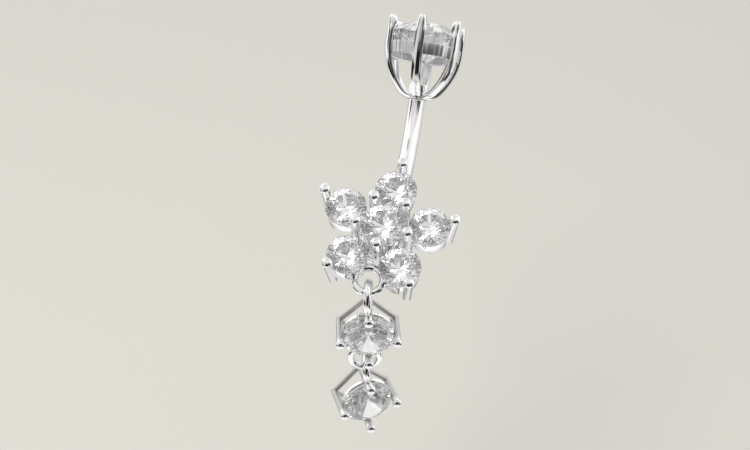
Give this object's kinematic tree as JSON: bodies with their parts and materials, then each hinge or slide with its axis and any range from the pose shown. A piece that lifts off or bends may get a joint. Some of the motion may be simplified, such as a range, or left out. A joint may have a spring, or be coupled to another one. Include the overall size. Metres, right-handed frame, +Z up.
{
  "type": "navel ring",
  "caption": "Curved navel bar with a large claw-set stone on its screw end, a flower of round stones at the other end and linked stone drops hanging below.",
  "frame": {"origin": "middle of the curved bar, where the piercing holds it", "axes": "+Z up as it hangs, -Y out of the flower's face towards the viewer, +X to the viewer's right"},
  "size_m": [0.0144, 0.032, 0.0328],
  "materials": {
    "silver": "bright polished silver",
    "clear_stone": "clear, brilliant cut, polished facets"
  },
  "bodies": {
    "ring_body": {"bar_and_flower": "silver", "centre_stone": "clear_stone", "petal_stone_1": "clear_stone", "petal_stone_2": "clear_stone", "petal_stone_3": "clear_stone", "petal_stone_4": "clear_stone", "petal_stone_5": "clear_stone"},
    "top": {"top_setting": "silver", "top_stone": "clear_stone"},
    "upper_drop": {"upper_drop_setting": "silver", "upper_drop_stone": "clear_stone"},
    "lower_drop": {"lower_drop_setting": "silver", "lower_drop_stone": "clear_stone"}
  },
  "joints": [
    {"name": "top_unscrews", "type": "slide", "parent": "ring_body", "child": "top", "axis": [0.1418, 0.6706, 0.7281], "range_m": [0, 0.006]},
    {"name": "upper_drop_swing", "type": "hinge", "parent": "ring_body", "child": "upper_drop", "pos_m": [-0.0039, -0.01635, -0.00359], "axis": [0.9987, -0.0507, 0], "range_deg": [-75, 45]},
    {"name": "lower_drop_swing", "type": "hinge", "parent": "upper_drop", "child": "lower_drop", "pos_m": [-0.00412, -0.01606, -0.01343], "axis": [0.999, 0.0454, 0], "range_deg": [-80, 80]}
  ]
}
